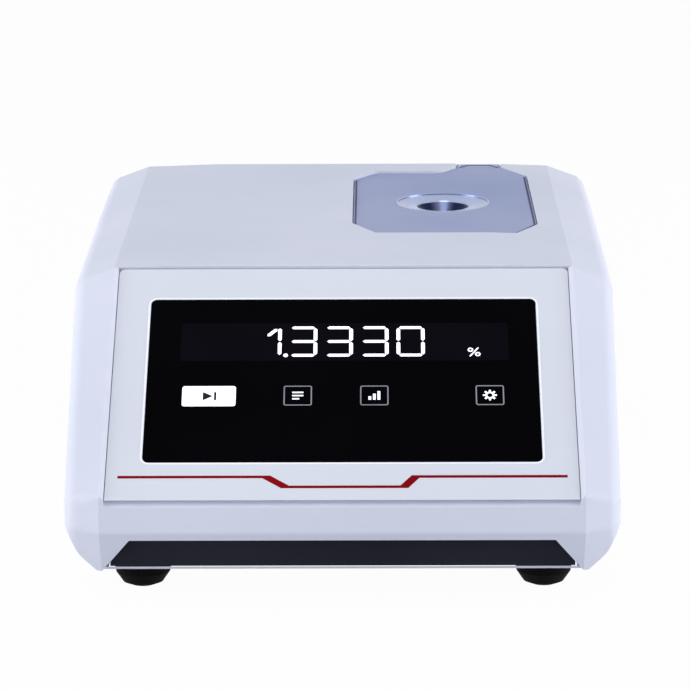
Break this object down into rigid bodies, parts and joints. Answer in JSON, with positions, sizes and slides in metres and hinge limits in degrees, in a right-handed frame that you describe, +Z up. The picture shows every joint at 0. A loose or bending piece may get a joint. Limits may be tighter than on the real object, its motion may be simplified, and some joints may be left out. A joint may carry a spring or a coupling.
{
  "type": "benchtop refractometer",
  "caption": "Bench instrument for liquids: a wedge housing with a raked touch screen, a sunk measuring plate with a steel sample dish over a prism, and sockets at the rear.",
  "frame": {"origin": "on the bench, under the centre of the housing", "axes": "+X to the user's right, +Y to the rear (the longest extent), +Z up (the shortest extent)"},
  "size_m": [0.225, 0.33, 0.1301],
  "materials": {
    "housing_plastic": "fine satin moulded plastic",
    "fascia_plastic": "satin, a little lighter than the housing",
    "screen_glass": "black gloss cover glass",
    "screen_parts": "satin",
    "circuit_board": "solder mask",
    "chip_black": "moulded epoxy",
    "screw_steel": "zinc plated",
    "plate_metal": "satin lavender-blue",
    "dish_steel": "polished stainless steel",
    "prism_crystal": "polished",
    "seal_rubber": "smooth",
    "holder_metal": "machined",
    "sink_metal": "extruded",
    "bench_metal": "black anodised",
    "peltier_ceramic": "bare ceramic",
    "filter_glass": "coated",
    "base_paint": "satin navy-black powder coat",
    "foot_rubber": "matt",
    "standoff_brass": "turned",
    "panel_paint": "satin powder coat",
    "socket_shell": "tin plated",
    "socket_plastic": "moulded",
    "fan_plastic": "moulded",
    "switch_plastic": "gloss"
  },
  "bodies": {
    "root": {"housing": "housing_plastic", "front_fascia": "fascia_plastic", "touch_glass": "screen_glass", "screen_module": "screen_parts", "display_board": "circuit_board", "display_screws": "screw_steel", "measuring_plate": "plate_metal", "plate_screws": "screw_steel", "sample_dish": "dish_steel", "dish_gasket": "seal_rubber", "prism_seal": "seal_rubber", "measuring_prism": "prism_crystal", "prism_holder": "holder_metal", "holder_screws": "screw_steel", "prism_clamp": "bench_metal", "temperature_sensor": "dish_steel", "peltier_modules": "peltier_ceramic", "heat_sink": "sink_metal", "optical_bench": "bench_metal", "source_tube": "bench_metal", "collimator_lens": "prism_crystal", "interference_filter": "filter_glass", "led_board": "circuit_board", "sensor_tube": "bench_metal", "imaging_lens": "prism_crystal", "line_sensor_board": "circuit_board", "base_tray": "base_paint", "tray_screws": "screw_steel", "feet": "foot_rubber", "foot_screws": "screw_steel", "foot_nuts": "screw_steel", "board_standoffs": "standoff_brass", "main_board": "circuit_board", "board_screws": "screw_steel", "processor": "chip_black", "heat_spreader": "sink_metal", "board_chips": "chip_black", "rear_panel": "panel_paint", "panel_screws": "screw_steel", "fan_frame": "fan_plastic", "fan_screws": "screw_steel", "power_switch": "switch_plastic", "serial_connector": "socket_shell", "serial_jackscrews": "screw_steel", "usb_sockets": "socket_shell", "ethernet_socket": "socket_plastic", "round_socket": "socket_plastic", "power_inlet": "socket_plastic", "cover_socket": "sink_metal"},
    "fan": {"fan_rotor": "fan_plastic"},
    "rocker": {"switch_rocker": "switch_plastic"}
  },
  "joints": [
    {"name": "fan_spin", "type": "hinge", "parent": "root", "child": "fan", "pos_m": [0.04353, 0.1469, 0.068], "axis": [0, 1, 0], "continuous": true},
    {"name": "power_rocker", "type": "hinge", "parent": "root", "child": "rocker", "pos_m": [-0.052, 0.1542, 0.068], "axis": [1, 0, 0], "range_deg": [0, 20]}
  ]
}
